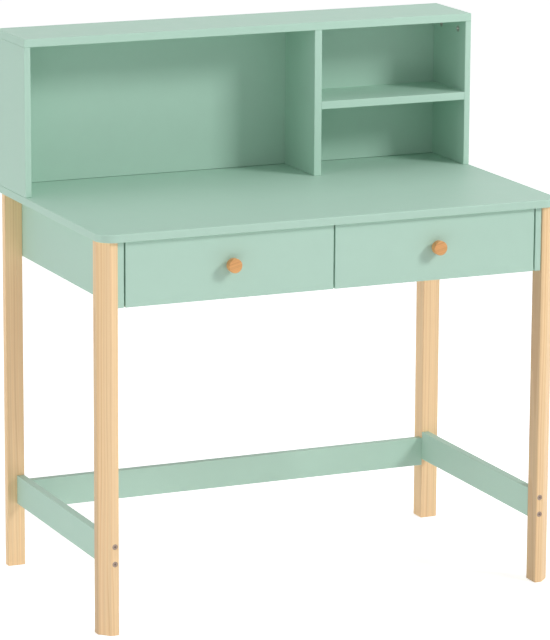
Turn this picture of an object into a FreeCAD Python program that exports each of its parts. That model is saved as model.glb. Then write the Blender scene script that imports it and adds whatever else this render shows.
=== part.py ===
"""Children's writing desk: pine legs, painted boards, two drawers on roller runners and a low hutch.

Millimetres. +X runs to the right and +Y to the back of someone sitting at the desk, and +Z is up.
The origin is on the floor, under the middle of the desk's overall box.
"""
import FreeCAD
import Part
import math
import os

Vector = FreeCAD.Vector

# Desktop and legs
DESK_WIDTH = 900.0
DESK_DEPTH = 525.0
DESKTOP_THICKNESS = 15.0
DESKTOP_EDGE_CUT = 1.5
DESKTOP_CORNER_CUT = 3.0
DESKTOP_CORNER_LAP = 8.0
LEG_LENGTH = 712.0
LEG_SIDE = 34.0
LEG_CHAMFER = 19.0
LEG_EDGE_CUT = 1.5
LEG_FOOT_CUT = 1.5
LEG_INSET_SIDE = 1.0
LEG_INSET_FRONT = 8.0
LEG_INSET_BACK = 1.0

# Painted boards of the drawer case, and the rails near the floor
BOARD_THICKNESS = 12.0
BOARD_EDGE_CUT = 1.0
CASE_HEIGHT = 118.0
CASE_SETBACK = 2.0
PARTITION_THICKNESS = 18.0
RAIL_HEIGHT = 55.0
RAIL_THICKNESS = 15.0
RAIL_BOTTOM = 120.0
STRETCHER_DROP = 12.0

# Hutch on top of the desk
HUTCH_HEIGHT = 290.0
HUTCH_DEPTH = 150.0
HUTCH_TOP_THICKNESS = 15.0
HUTCH_BACK_INSET = 3.0
DIVIDER_THICKNESS = 15.0
RIGHT_BAY_WIDTH = 298.0
SHELF_RISE = 125.0
SHELF_THICKNESS = 15.0

# Drawers
DRAWER_GAP = 3.0
DRAWER_TOP_GAP = 1.5
DRAWER_STOP_GAP = 0.5
DRAWER_FRONT_THICKNESS = 15.0
DRAWER_HEADROOM = 23.0
DRAWER_BACK_GAP = 35.0
DRAWER_BOTTOM_THICKNESS = 4.0
DRAWER_BOTTOM_RISE = 10.0
DRAWER_GROOVE_DEPTH = 5.0
KNOB_LENGTH = 22.0
KNOB_RADIUS = 13.0
KNOB_NECK_RADIUS = 8.0
KNOB_NECK_LENGTH = 9.0
KNOB_RAISE = 4.0

# Roller runners, folded from sheet steel, with a nylon roller at each carrying end
RUNNER_SPACE = 12.5
RUNNER_STEEL = 1.2
RUNNER_RISE = 12.0
RUNNER_FRONT_GAP = 2.0
RUNNER_BACK_GAP = 5.0
RUNNER_LEDGE = 10.0
RUNNER_LEVEL_GAP = 1.5
RUNNER_SIDE_GAP = 1.0
RUNNER_OVERLAP = 125.0
RUNNER_STOP_DROP = 4.0
ROLLER_RADIUS = 8.0
ROLLER_INSET = 11.0
ROLLER_GAP = 0.3
ROLLER_SIDE_PLAY = 0.1
ROLLER_BORE_GAP = 0.1
STUD_RADIUS = 2.0
STUD_HEAD_RADIUS = 3.2
STUD_HEAD_LENGTH = 0.8

# Fixings, with flat sides because there are so many of them
FIXING_SIDES = 6
RAIL_SCREW_HEAD_SIDES = 8
RAIL_SCREW_HEAD_RADIUS = 5.0
RAIL_SCREW_HEAD_LENGTH = 3.5
RAIL_SCREW_SHANK_RADIUS = 2.5
RAIL_SCREW_LENGTH = 75.0
RAIL_SCREW_SPACING = 32.0
WOOD_SCREW_HEAD_RADIUS = 4.0
WOOD_SCREW_SHANK_RADIUS = 2.0
APRON_SCREW_LENGTH = 34.0
HUTCH_SCREW_LENGTH = 45.0
CAM_RADIUS = 6.0
CAM_PAST_BOLT = 3.5
CAM_SETBACK = 18.0
CAM_BOLT_RADIUS = 2.5
CAM_BOLT_THREAD_LENGTH = 8.0
DOWEL_RADIUS = 3.0
DOWEL_LENGTH = 24.0
DOWEL_FACE_DEPTH = 8.0
KNOB_SCREW_RADIUS = 2.0
KNOB_SCREW_REACH = 13.0
KNOB_SCREW_HEAD_RADIUS = 4.0
KNOB_SCREW_HEAD_LENGTH = 2.4

# Where the fixings go, measured from the ends or edges that they sit near
CASE_CAM_INSET = 80.0
CORNER_CAM_RISE = 36.0
CORNER_DOWEL_DROP = 30.0
APRON_SCREW_RISE = 52.0
APRON_SCREW_DROP = 22.0
STRETCHER_DOWEL_RISE = 11.0
HUTCH_FIXING_INSET = 32.0
HUTCH_SCREW_BACK_INSET = 50.0
HUTCH_DOWEL_INSET = 60.0
DRAWER_FIXING_INSET = 11.0

# Directions and sides
X_AXIS = Vector(1, 0, 0)
Y_AXIS = Vector(0, 1, 0)
Z_AXIS = Vector(0, 0, 1)
SIDES = {"left": -1, "right": 1}

# Places of the desktop, legs and drawer case
half_width = DESK_WIDTH / 2
knob_reach = KNOB_LENGTH - LEG_INSET_FRONT - CASE_SETBACK
desk_front = -(DESK_DEPTH - knob_reach) / 2
desk_back = desk_front + DESK_DEPTH
desktop_top = LEG_LENGTH + DESKTOP_THICKNESS
leg_outer = half_width - LEG_INSET_SIDE
leg_inner = leg_outer - LEG_SIDE
leg_front = desk_front + LEG_INSET_FRONT
leg_back = desk_back - LEG_INSET_BACK
case_half_width = leg_inner - BOARD_THICKNESS
case_bottom = LEG_LENGTH - CASE_HEIGHT
case_front = leg_front + CASE_SETBACK
case_back = leg_back - CASE_SETBACK
back_apron_front = case_back - BOARD_THICKNESS
rail_middle = RAIL_BOTTOM + RAIL_HEIGHT / 2
stretcher_bottom = RAIL_BOTTOM - STRETCHER_DROP
stretcher_front = leg_back - LEG_SIDE
stretcher_back = stretcher_front + RAIL_THICKNESS

# Places of the hutch
hutch_front = desk_back - HUTCH_DEPTH
hutch_top = desktop_top + HUTCH_HEIGHT
hutch_ceiling = hutch_top - HUTCH_TOP_THICKNESS
hutch_inner = half_width - BOARD_THICKNESS
hutch_back_rear = desk_back - HUTCH_BACK_INSET
hutch_back_front = hutch_back_rear - BOARD_THICKNESS
divider_right = hutch_inner - RIGHT_BAY_WIDTH
divider_left = divider_right - DIVIDER_THICKNESS
shelf_bottom = desktop_top + SHELF_RISE
shelf_top = shelf_bottom + SHELF_THICKNESS
hutch_fixing_places = (hutch_front + HUTCH_FIXING_INSET, hutch_back_front - HUTCH_FIXING_INSET)

# Places of the drawers and their runners
box_front = case_front + DRAWER_FRONT_THICKNESS
box_back = back_apron_front - DRAWER_BACK_GAP
partition_front = box_front + DRAWER_STOP_GAP
runner_bottom = case_bottom + RUNNER_RISE
box_bottom = runner_bottom + RUNNER_STEEL
box_top = LEG_LENGTH - DRAWER_HEADROOM
runner_length = box_back - box_front - RUNNER_BACK_GAP
drawer_travel = runner_length - RUNNER_OVERLAP
channel_front = box_front + RUNNER_FRONT_GAP
channel_height = 2 * (RUNNER_STEEL + ROLLER_GAP + ROLLER_RADIUS)
carrier_height = channel_height + RUNNER_LEVEL_GAP + RUNNER_STEEL
carrier_web = RUNNER_SPACE - RUNNER_STEEL
stud_reach = RUNNER_SPACE - 2 * RUNNER_STEEL - RUNNER_SIDE_GAP
roller_width = stud_reach - STUD_HEAD_LENGTH - 2 * ROLLER_SIDE_PLAY
front_roller_y = channel_front + ROLLER_INSET
front_roller_z = runner_bottom + carrier_height - RUNNER_STEEL - ROLLER_GAP - ROLLER_RADIUS
rear_roller_y = box_front + runner_length - ROLLER_INSET
rear_roller_z = runner_bottom + RUNNER_STEEL + ROLLER_GAP + ROLLER_RADIUS


def middle(low, high):
    """The point half way between two places."""
    return (low + high) / 2


def block(x_span, y_span, z_span):
    """A plain box, from its (low, high) pair along each axis, in either order."""
    spans = [sorted(span) for span in (x_span, y_span, z_span)]
    low = Vector(*[span[0] for span in spans])
    return Part.makeBox(*[span[1] - span[0] for span in spans], low)


def board(x_span, y_span, z_span):
    """A board that shows, with every edge eased; hidden boards keep their square edges."""
    plain = block(x_span, y_span, z_span)
    return plain.makeChamfer(BOARD_EDGE_CUT, plain.Edges)


def rod(start, direction, radius, length):
    """A round bar from a point along a direction."""
    return Part.makeCylinder(radius, length, start, direction)


def closed_wire(points):
    """A wire through the points and back to the first."""
    return Part.makePolygon(points + points[:1])


def prism(points, sweep):
    """A straight extrusion of a closed outline."""
    return Part.Face(closed_wire(points)).extrude(sweep)


def ring_points(centre, direction, radius, sides):
    """Points evenly round a circle that faces along one of the axes."""
    across = X_AXIS if abs(direction.z) > 0 else Z_AXIS
    upward = direction.cross(across)
    points = []
    for step in range(sides):
        turn = 2 * math.pi * step / sides
        points.append(centre + across * radius * math.cos(turn) + upward * radius * math.sin(turn))
    return points


def pin(start, direction, radius, length, sides=FIXING_SIDES):
    """A fixing's straight length, with flat sides."""
    return prism(ring_points(start, direction, radius, sides), direction * length)


def merge(*solids):
    """One solid from several that meet."""
    return solids[0].fuse(list(solids[1:])).removeSplitter()


def is_level(edge):
    """True for an edge that lies flat."""
    return edge.BoundBox.ZLength < edge.Length / 2


def fitted(solid, fixings):
    """The solid with a seat cut for every fixing that reaches into it."""
    for fixing in fixings:
        if solid.BoundBox.intersect(fixing.BoundBox):
            solid = solid.cut(fixing)
    return solid


def save(node, *solids):
    """Writes one node, as a single solid or as a group of separate ones."""
    shape = solids[0] if len(solids) == 1 else Part.makeCompound(solids)
    shape.exportStep(f"parts/{node}.step")
    print(f"{node}: {len(shape.Solids)} solid(s), valid {shape.isValid()}, {shape.Volume / 1000:.1f} cm3")


def wood_screw(seat, direction, length):
    """A screw with a 90 degree head, level with the face that it is driven into."""
    head_length = WOOD_SCREW_HEAD_RADIUS - WOOD_SCREW_SHANK_RADIUS
    shank_start = seat + direction * head_length
    rim = closed_wire(ring_points(seat, direction, WOOD_SCREW_HEAD_RADIUS, FIXING_SIDES))
    root = closed_wire(ring_points(shank_start, direction, WOOD_SCREW_SHANK_RADIUS, FIXING_SIDES))
    head = Part.makeLoft([rim, root], True, True)
    return merge(head, pin(shank_start, direction, WOOD_SCREW_SHANK_RADIUS, length - head_length))


def rail_screw(seat, direction):
    """A connector screw, with a flat head let in level with the leg."""
    head = pin(seat, direction, RAIL_SCREW_HEAD_RADIUS, RAIL_SCREW_HEAD_LENGTH, RAIL_SCREW_HEAD_SIDES)
    shank = pin(seat, direction, RAIL_SCREW_SHANK_RADIUS, RAIL_SCREW_LENGTH)
    return merge(head, shank)


def cam_lock(mate, inward, face, thickness):
    """A round cam and the bolt that it draws in.

    mate is where the bolt crosses the joint, inward points from there into the cam's board, and face points
    out of the side of that board that the cam is let into.
    """
    depth = thickness / 2 + CAM_PAST_BOLT
    floor = mate + inward * CAM_SETBACK - face * CAM_PAST_BOLT
    cam = pin(floor, face, CAM_RADIUS, depth)
    start = mate - inward * CAM_BOLT_THREAD_LENGTH
    bolt = pin(start, inward, CAM_BOLT_RADIUS, CAM_BOLT_THREAD_LENGTH + CAM_SETBACK)
    return cam, bolt.cut(cam)


def dowel(joint, inward):
    """A wooden dowel, a little of it in the face of one board and the rest in the end of the other."""
    return pin(joint - inward * DOWEL_FACE_DEPTH, inward, DOWEL_RADIUS, DOWEL_LENGTH)


def make_desktop():
    """The worktop, with its front corners cut to follow the legs."""
    cut = LEG_CHAMFER + LEG_INSET_SIDE + LEG_INSET_FRONT - DESKTOP_CORNER_LAP
    corners = [
        (-half_width, desk_back),
        (-half_width, desk_front + cut),
        (-half_width + cut, desk_front),
        (half_width - cut, desk_front),
        (half_width, desk_front + cut),
        (half_width, desk_back),
    ]
    slab = prism([Vector(x, y, LEG_LENGTH) for x, y in corners], Z_AXIS * DESKTOP_THICKNESS)
    front_uprights = [edge for edge in slab.Edges if not is_level(edge) and edge.BoundBox.YMax < desk_back]
    slab = slab.makeChamfer(DESKTOP_CORNER_CUT, front_uprights)
    return slab.makeChamfer(DESKTOP_EDGE_CUT, [edge for edge in slab.Edges if is_level(edge)])


def make_leg(side, outer_y, into_desk):
    """A square post with its outside corner planed off; into_desk is the way along Y from its outer face."""
    outer_x = side * leg_outer
    inner_x = side * leg_inner
    inner_y = outer_y + into_desk * LEG_SIDE
    corners = [
        (inner_x, inner_y),
        (outer_x, inner_y),
        (outer_x, outer_y + into_desk * LEG_CHAMFER),
        (outer_x - side * LEG_CHAMFER, outer_y),
        (inner_x, outer_y),
    ]
    post = prism([Vector(x, y, 0) for x, y in corners], Z_AXIS * LEG_LENGTH)
    post = post.makeChamfer(LEG_EDGE_CUT, [edge for edge in post.Edges if not is_level(edge)])
    foot = [edge for edge in post.Edges if edge.BoundBox.ZMax < LEG_LENGTH / 2]
    return post.makeChamfer(LEG_FOOT_CUT, foot)


def spun(axis_start, direction, outline):
    """A turned piece, from its (radius, distance along the axis) outline."""
    across = X_AXIS if direction.x == 0 else Z_AXIS
    points = [axis_start + across * radius + direction * along for radius, along in outline]
    return Part.Face(closed_wire(points)).revolve(axis_start, direction, 360)


def make_knob(seat):
    """A turned knob, a broad head on a shorter neck, about the line that it is pulled along."""
    outline = [
        (0, 0),
        (KNOB_NECK_RADIUS, 0),
        (KNOB_NECK_RADIUS, KNOB_NECK_LENGTH),
        (KNOB_RADIUS, KNOB_NECK_LENGTH),
        (KNOB_RADIUS, KNOB_LENGTH),
        (0, KNOB_LENGTH),
    ]
    return spun(seat, -Y_AXIS, outline)


def make_roller(axis_start, direction):
    """A nylon roller, from its first side face along the stud that it turns on."""
    bore = STUD_RADIUS + ROLLER_BORE_GAP
    outline = [(bore, 0), (ROLLER_RADIUS, 0), (ROLLER_RADIUS, roller_width), (bore, roller_width)]
    return spun(axis_start, direction, outline)


def make_stud(root, direction):
    """The riveted stud that a roller turns on, with a head at its end."""
    axle = rod(root, direction, STUD_RADIUS, stud_reach)
    head_start = root + direction * (stud_reach - STUD_HEAD_LENGTH)
    head = pin(head_start, direction, STUD_HEAD_RADIUS, STUD_HEAD_LENGTH)
    return merge(axle, head)


def stop_tab_back():
    """Y of the tab's rear face, where a fully drawn roller comes up against it."""
    tab_bottom = runner_bottom + channel_height - RUNNER_STEEL - RUNNER_STOP_DROP
    roller_half_chord = math.sqrt(ROLLER_RADIUS ** 2 - (tab_bottom - rear_roller_z) ** 2)
    return rear_roller_y - drawer_travel - roller_half_chord - ROLLER_GAP


def make_channel(wall, inward):
    """The fixed half of a runner: a C channel on the board at X = wall, opening the way of inward.

    Its top flange stops short at the front, where its own roller stands. Further back the flange has a
    tab turned down, which stops the drawer's roller.
    """
    flange = RUNNER_STEEL + stud_reach

    def spot(out, up):
        return Vector(wall + inward * out, channel_front, runner_bottom + up)

    roof = channel_height - RUNNER_STEEL
    outline = [
        spot(0, 0),
        spot(flange, 0),
        spot(flange, RUNNER_STEEL),
        spot(RUNNER_STEEL, RUNNER_STEEL),
        spot(RUNNER_STEEL, roof),
        spot(flange, roof),
        spot(flange, channel_height),
        spot(0, channel_height),
    ]
    channel = prism(outline, Y_AXIS * runner_length)
    flange_span = (wall + inward * RUNNER_STEEL, wall + inward * flange)
    roof_z = runner_bottom + roof
    notch = block(
        flange_span, (channel_front, channel_front + 2 * ROLLER_INSET), (roof_z, roof_z + RUNNER_STEEL))
    tab_back = stop_tab_back()
    tab = block(flange_span, (tab_back - RUNNER_STEEL, tab_back), (roof_z - RUNNER_STOP_DROP, roof_z))
    stud = make_stud(Vector(wall + inward * RUNNER_STEEL, front_roller_y, front_roller_z), X_AXIS * inward)
    return merge(channel.cut(notch), tab, stud)


def make_carrier(wall, inward):
    """The moving half of a runner: a Z strip under the drawer's side, with its roller's stud at the back."""
    lip = RUNNER_STEEL + RUNNER_SIDE_GAP
    shelf = carrier_height - RUNNER_STEEL

    def spot(out, up):
        return Vector(wall + inward * out, box_front, runner_bottom + up)

    outline = [
        spot(lip, shelf),
        spot(lip, carrier_height),
        spot(RUNNER_SPACE, carrier_height),
        spot(RUNNER_SPACE, RUNNER_STEEL),
        spot(RUNNER_SPACE + RUNNER_LEDGE, RUNNER_STEEL),
        spot(RUNNER_SPACE + RUNNER_LEDGE, 0),
        spot(carrier_web, 0),
        spot(carrier_web, shelf),
    ]
    strip = prism(outline, Y_AXIS * runner_length)
    stud = make_stud(Vector(wall + inward * carrier_web, rear_roller_y, rear_roller_z), X_AXIS * -inward)
    return merge(strip, stud)


class CaseFixings:
    """The fixings of the fixed structure, in groups; the boards are cut to seat them."""

    def __init__(self):
        self.cams = []
        self.cam_bolts = []
        self.dowels = []
        self.rail_screws = []
        self.apron_screws = []
        self.hutch_screws = []

    def add_cam(self, mate, inward, face, thickness):
        cam, bolt = cam_lock(mate, inward, face, thickness)
        self.cams.append(cam)
        self.cam_bolts.append(bolt)

    def all(self):
        screws = self.rail_screws + self.apron_screws + self.hutch_screws
        return self.cams + self.cam_bolts + self.dowels + screws


def add_apron_fixings(fixings, side):
    """Holds one side apron to its legs, to the desktop and to the back apron."""
    outward = X_AXIS * side
    apron_middle = side * middle(case_half_width, leg_inner)
    back_middle = middle(back_apron_front, case_back)
    for y in (case_front + CASE_CAM_INSET, case_back - CASE_CAM_INSET):
        fixings.add_cam(Vector(apron_middle, y, LEG_LENGTH), -Z_AXIS, -outward, BOARD_THICKNESS)
    for y in (leg_front + LEG_SIDE / 2, leg_back - LEG_SIDE / 2):
        for z in (case_bottom + APRON_SCREW_RISE, LEG_LENGTH - APRON_SCREW_DROP):
            seat = Vector(side * case_half_width, y, z)
            fixings.apron_screws.append(wood_screw(seat, outward, APRON_SCREW_LENGTH))
    back_corner = Vector(side * case_half_width, back_middle, 0)
    cam_mate = back_corner + Z_AXIS * (case_bottom + CORNER_CAM_RISE)
    fixings.add_cam(cam_mate, -outward, -Y_AXIS, BOARD_THICKNESS)
    fixings.dowels.append(dowel(back_corner + Z_AXIS * (LEG_LENGTH - CORNER_DOWEL_DROP), -outward))


def add_partition_fixings(fixings):
    """Holds the partition between the drawers to the desktop and to the back apron."""
    front_top = Vector(0, partition_front + CASE_CAM_INSET, LEG_LENGTH)
    fixings.add_cam(front_top, -Z_AXIS, X_AXIS, PARTITION_THICKNESS)
    for z in (case_bottom + CORNER_CAM_RISE, LEG_LENGTH - CORNER_DOWEL_DROP):
        fixings.dowels.append(dowel(Vector(0, back_apron_front, z), -Y_AXIS))


def add_rail_fixings(fixings, side):
    """Holds one side rail and one end of the back stretcher to the legs."""
    rail_x = side * (leg_inner + RAIL_THICKNESS / 2)
    for y, direction in ((leg_front, Y_AXIS), (leg_back, -Y_AXIS)):
        for offset in (-RAIL_SCREW_SPACING / 2, RAIL_SCREW_SPACING / 2):
            seat = Vector(rail_x, y, rail_middle + offset)
            fixings.rail_screws.append(rail_screw(seat, direction))
    inward = X_AXIS * -side
    stretcher_end = Vector(side * leg_inner, middle(stretcher_front, stretcher_back), 0)
    fixings.add_cam(stretcher_end + Z_AXIS * rail_middle, inward, Y_AXIS, RAIL_THICKNESS)
    fixings.dowels.append(dowel(stretcher_end + Z_AXIS * (stretcher_bottom + STRETCHER_DOWEL_RISE), inward))


def add_hutch_side_fixings(fixings, side):
    """Holds one hutch side to the desktop, to the hutch top and to the hutch back."""
    inward = X_AXIS * -side
    side_middle = side * middle(hutch_inner, half_width)
    for y in hutch_fixing_places:
        fixings.add_cam(Vector(side_middle, y, hutch_ceiling), -Z_AXIS, inward, BOARD_THICKNESS)
    for y in (hutch_front + HUTCH_FIXING_INSET, desk_back - HUTCH_SCREW_BACK_INSET):
        seat = Vector(side_middle, y, LEG_LENGTH)
        fixings.hutch_screws.append(wood_screw(seat, Z_AXIS, HUTCH_SCREW_LENGTH))
    for z in (desktop_top + HUTCH_DOWEL_INSET, hutch_ceiling - HUTCH_DOWEL_INSET):
        joint = Vector(side * hutch_inner, middle(hutch_back_front, hutch_back_rear), z)
        fixings.dowels.append(dowel(joint, inward))


def add_divider_fixings(fixings):
    """Holds the hutch divider to the desktop and the hutch top, and the shelf to the divider and the side."""
    divider_middle = middle(divider_left, divider_right)
    shelf_middle = middle(shelf_bottom, shelf_top)
    for y in hutch_fixing_places:
        fixings.add_cam(Vector(divider_middle, y, hutch_ceiling), -Z_AXIS, X_AXIS, DIVIDER_THICKNESS)
        seat = Vector(divider_middle, y, LEG_LENGTH)
        fixings.hutch_screws.append(wood_screw(seat, Z_AXIS, HUTCH_SCREW_LENGTH))
        fixings.dowels.append(dowel(Vector(divider_right, y, shelf_middle), X_AXIS))
        fixings.dowels.append(dowel(Vector(hutch_inner, y, shelf_middle), -X_AXIS))


def bay_walls(side):
    """X of the two boards that a drawer runs between, each with the way that it faces, left one first."""
    low, high = sorted((side * case_half_width, side * PARTITION_THICKNESS / 2))
    return {"left": (low, 1), "right": (high, -1)}


def save_case_runners(bay, walls):
    """The fixed runners of one drawer bay, with their front rollers."""
    roller_out = RUNNER_STEEL + ROLLER_SIDE_PLAY
    for hand, (wall, inward) in walls.items():
        save(f"{bay}_bay_{hand}_runner", make_channel(wall, inward))
        roller_start = Vector(wall + inward * roller_out, front_roller_y, front_roller_z)
        save(f"{bay}_bay_{hand}_roller", make_roller(roller_start, X_AXIS * inward))


def save_legs(fixings):
    """The four pine legs."""
    for place, outer_y, into_desk in (("front", leg_front, 1), ("back", leg_back, -1)):
        for hand, side in SIDES.items():
            save(f"{place}_{hand}_leg", fitted(make_leg(side, outer_y, into_desk), fixings))


def save_case(fixings):
    """The desktop, the boards round the drawers and the rails near the floor."""
    save("desktop", fitted(make_desktop(), fixings))
    case_z = (case_bottom, LEG_LENGTH)
    for hand, side in SIDES.items():
        apron = board((side * case_half_width, side * leg_inner), (case_front, case_back), case_z)
        save(f"{hand}_apron", fitted(apron, fixings))
        rail = board(
            (side * leg_inner, side * (leg_inner + RAIL_THICKNESS)),
            (leg_front + LEG_SIDE, leg_back - LEG_SIDE),
            (RAIL_BOTTOM, RAIL_BOTTOM + RAIL_HEIGHT))
        save(f"{hand}_lower_rail", fitted(rail, fixings))
    back_apron = block((-case_half_width, case_half_width), (back_apron_front, case_back), case_z)
    save("back_apron", fitted(back_apron, fixings))
    partition_x = (-PARTITION_THICKNESS / 2, PARTITION_THICKNESS / 2)
    partition = block(partition_x, (partition_front, back_apron_front), case_z)
    save("centre_partition", fitted(partition, fixings))
    stretcher_z = (stretcher_bottom, stretcher_bottom + RAIL_HEIGHT)
    stretcher = board((-leg_inner, leg_inner), (stretcher_front, stretcher_back), stretcher_z)
    save("back_stretcher", fitted(stretcher, fixings))


def save_hutch(fixings):
    """The open box that stands at the back of the desktop."""
    inside_z = (desktop_top, hutch_ceiling)
    full_y = (hutch_front, desk_back)
    inside_y = (hutch_front, hutch_back_front)
    for hand, side in SIDES.items():
        panel = board((side * hutch_inner, side * half_width), full_y, inside_z)
        save(f"hutch_{hand}_side", fitted(panel, fixings))
    top = board((-half_width, half_width), full_y, (hutch_ceiling, hutch_top))
    save("hutch_top", fitted(top, fixings))
    divider = board((divider_left, divider_right), inside_y, inside_z)
    save("hutch_divider", fitted(divider, fixings))
    shelf = board((divider_right, hutch_inner), inside_y, (shelf_bottom, shelf_top))
    save("hutch_shelf", fitted(shelf, fixings))
    back = block((-hutch_inner, hutch_inner), (hutch_back_front, hutch_back_rear), inside_z)
    save("hutch_back", fitted(back, fixings))


def save_case_fixings(fixings):
    """The fixings themselves, one node for each kind."""
    save("cam_locks", *fixings.cams)
    save("cam_bolts", *fixings.cam_bolts)
    save("dowels", *fixings.dowels)
    save("rail_screws", *fixings.rail_screws)
    save("apron_screws", *fixings.apron_screws)
    save("hutch_screws", *fixings.hutch_screws)


def save_drawer_box(name, box_x, front, bottom, cuts):
    """The drawer's front, sides, back and bottom, cut for their fixings."""
    inner_x = (box_x[0] + BOARD_THICKNESS, box_x[1] - BOARD_THICKNESS)
    box_z = (box_bottom, box_top)
    above_bottom = (bottom.BoundBox.ZMax, box_top)
    save(f"{name}_front", fitted(front, cuts + [bottom]))
    for hand, outer, inner in zip(SIDES, box_x, inner_x):
        panel = block((outer, inner), (box_front, box_back), box_z)
        save(f"{name}_{hand}_side", fitted(panel, cuts + [bottom]))
    back = block(inner_x, (box_back - BOARD_THICKNESS, box_back), above_bottom)
    save(f"{name}_back", fitted(back, cuts))
    save(f"{name}_bottom", fitted(bottom, cuts))


def save_drawer_runners(name, walls):
    """The moving halves of a drawer's runners, with their rear rollers."""
    roller_out = carrier_web - ROLLER_SIDE_PLAY
    for hand, (wall, inward) in walls.items():
        save(f"{name}_{hand}_runner", make_carrier(wall, inward))
        roller_start = Vector(wall + inward * roller_out, rear_roller_y, rear_roller_z)
        save(f"{name}_{hand}_roller", make_roller(roller_start, X_AXIS * -inward))


def save_drawer(bay, side, walls):
    """One drawer: front, knob, box, fixings and the moving halves of its runners."""
    name = f"{bay}_drawer"
    box_x = (walls["left"][0] + RUNNER_SPACE, walls["right"][0] - RUNNER_SPACE)
    inner_x = (box_x[0] + BOARD_THICKNESS, box_x[1] - BOARD_THICKNESS)
    front_x = (side * (case_half_width - DRAWER_GAP), side * DRAWER_GAP / 2)
    front_z = (case_bottom, LEG_LENGTH - DRAWER_TOP_GAP)
    front = board(front_x, (case_front, box_front), front_z)
    bottom_z = box_bottom + DRAWER_BOTTOM_RISE
    bottom = block(
        (inner_x[0] - DRAWER_GROOVE_DEPTH, inner_x[1] + DRAWER_GROOVE_DEPTH),
        (box_front - DRAWER_GROOVE_DEPTH, box_back),
        (bottom_z, bottom_z + DRAWER_BOTTOM_THICKNESS))

    cams = []
    bolts = []
    dowels = []
    fixing_low = runner_bottom + carrier_height + DRAWER_FIXING_INSET
    fixing_high = box_top - DRAWER_FIXING_INSET
    for hand, outer, inner in zip(SIDES, box_x, inner_x):
        outward = X_AXIS * SIDES[hand]
        mate = Vector(middle(outer, inner), box_front, middle(fixing_low, fixing_high))
        cam, bolt = cam_lock(mate, Y_AXIS, outward, BOARD_THICKNESS)
        cams.append(cam)
        bolts.append(bolt)
        for z in (fixing_low, fixing_high):
            dowels.append(dowel(Vector(inner, box_back - BOARD_THICKNESS / 2, z), -outward))

    knob_seat = Vector(middle(*front_x), case_front, middle(*front_z) + KNOB_RAISE)
    screw_seat = knob_seat + Y_AXIS * DRAWER_FRONT_THICKNESS
    knob_screw = merge(
        pin(screw_seat, Y_AXIS, KNOB_SCREW_HEAD_RADIUS, KNOB_SCREW_HEAD_LENGTH),
        pin(screw_seat, -Y_AXIS, KNOB_SCREW_RADIUS, DRAWER_FRONT_THICKNESS + KNOB_SCREW_REACH))

    save_drawer_box(name, box_x, front, bottom, cams + bolts + dowels + [knob_screw])
    save_drawer_runners(name, walls)
    save(f"{name}_knob", make_knob(knob_seat).cut(knob_screw))
    save(f"{name}_knob_screw", knob_screw)
    save(f"{name}_cam_fittings", *cams, *bolts)
    save(f"{name}_dowels", *dowels)


os.makedirs("parts", exist_ok=True)
case_fixings = CaseFixings()
add_partition_fixings(case_fixings)
add_divider_fixings(case_fixings)
for hand, side in SIDES.items():
    add_apron_fixings(case_fixings, side)
    add_rail_fixings(case_fixings, side)
    add_hutch_side_fixings(case_fixings, side)
    save_case_runners(hand, bay_walls(side))
    save_drawer(hand, side, bay_walls(side))
save_legs(case_fixings.all())
save_case(case_fixings.all())
save_hutch(case_fixings.all())
save_case_fixings(case_fixings)
print(f"Each drawer opens {drawer_travel:.1f} mm; its rollers turn {1 / ROLLER_RADIUS:.4f} rad for each mm")
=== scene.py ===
# %% [markdown]
# A child's writing desk, dressed for a picture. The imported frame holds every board, leg, screw and roller as
# plain solids in their true places. This lesson gives each piece its eased edges, its turned or folded form
# and a finish made of nodes, and then lights the desk softly on a white floor.
#
# The frame comes first, because every later cell reads its sizes from it. Many pieces come in a left and a
# right hand, so each hand is kept with its way inwards along X.

# %% Load the frame
import math

import bmesh
import bpy
from mathutils import Color, Matrix, Vector


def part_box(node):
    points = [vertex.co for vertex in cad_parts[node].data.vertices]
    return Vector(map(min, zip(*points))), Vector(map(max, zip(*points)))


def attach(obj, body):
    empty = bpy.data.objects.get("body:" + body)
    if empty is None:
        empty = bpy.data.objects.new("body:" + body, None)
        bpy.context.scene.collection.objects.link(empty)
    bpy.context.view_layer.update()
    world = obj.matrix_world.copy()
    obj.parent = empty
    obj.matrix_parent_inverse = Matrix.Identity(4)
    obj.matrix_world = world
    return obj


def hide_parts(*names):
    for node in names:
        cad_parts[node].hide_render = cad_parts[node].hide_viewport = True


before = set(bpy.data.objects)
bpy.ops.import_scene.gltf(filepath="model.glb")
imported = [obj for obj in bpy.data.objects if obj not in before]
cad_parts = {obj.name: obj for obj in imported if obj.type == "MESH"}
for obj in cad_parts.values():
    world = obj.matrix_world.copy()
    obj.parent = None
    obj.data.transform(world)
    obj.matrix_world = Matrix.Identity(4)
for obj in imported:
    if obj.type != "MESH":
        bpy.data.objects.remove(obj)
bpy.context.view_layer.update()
scene = bpy.context.scene
MM = 0.001
AXES = {"X": 0, "Y": 1, "Z": 2}
HANDS = {"left": 1, "right": -1}
scene.view_settings.view_transform = "Standard"

# %% [markdown]
# A node tree in code is easy to lose one's way in. A bench holds one tree and offers the few kinds of node
# that every finish needs, each as one short call. Effects that finishes share go into node groups, so that a
# finish only differs in the values that it gives them, and every group puts out the three things that a
# surface needs.

# %% Helpers for node trees
SURFACE = {"Color": "Color", "Roughness": "Float", "Height": "Float"}


def srgb(red, green, blue):
    """A screen colour, 0 to 255, as the linear values that shaders use."""
    return (*Color((red / 255, green / 255, blue / 255)).from_srgb_to_scene_linear(), 1.0)


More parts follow.
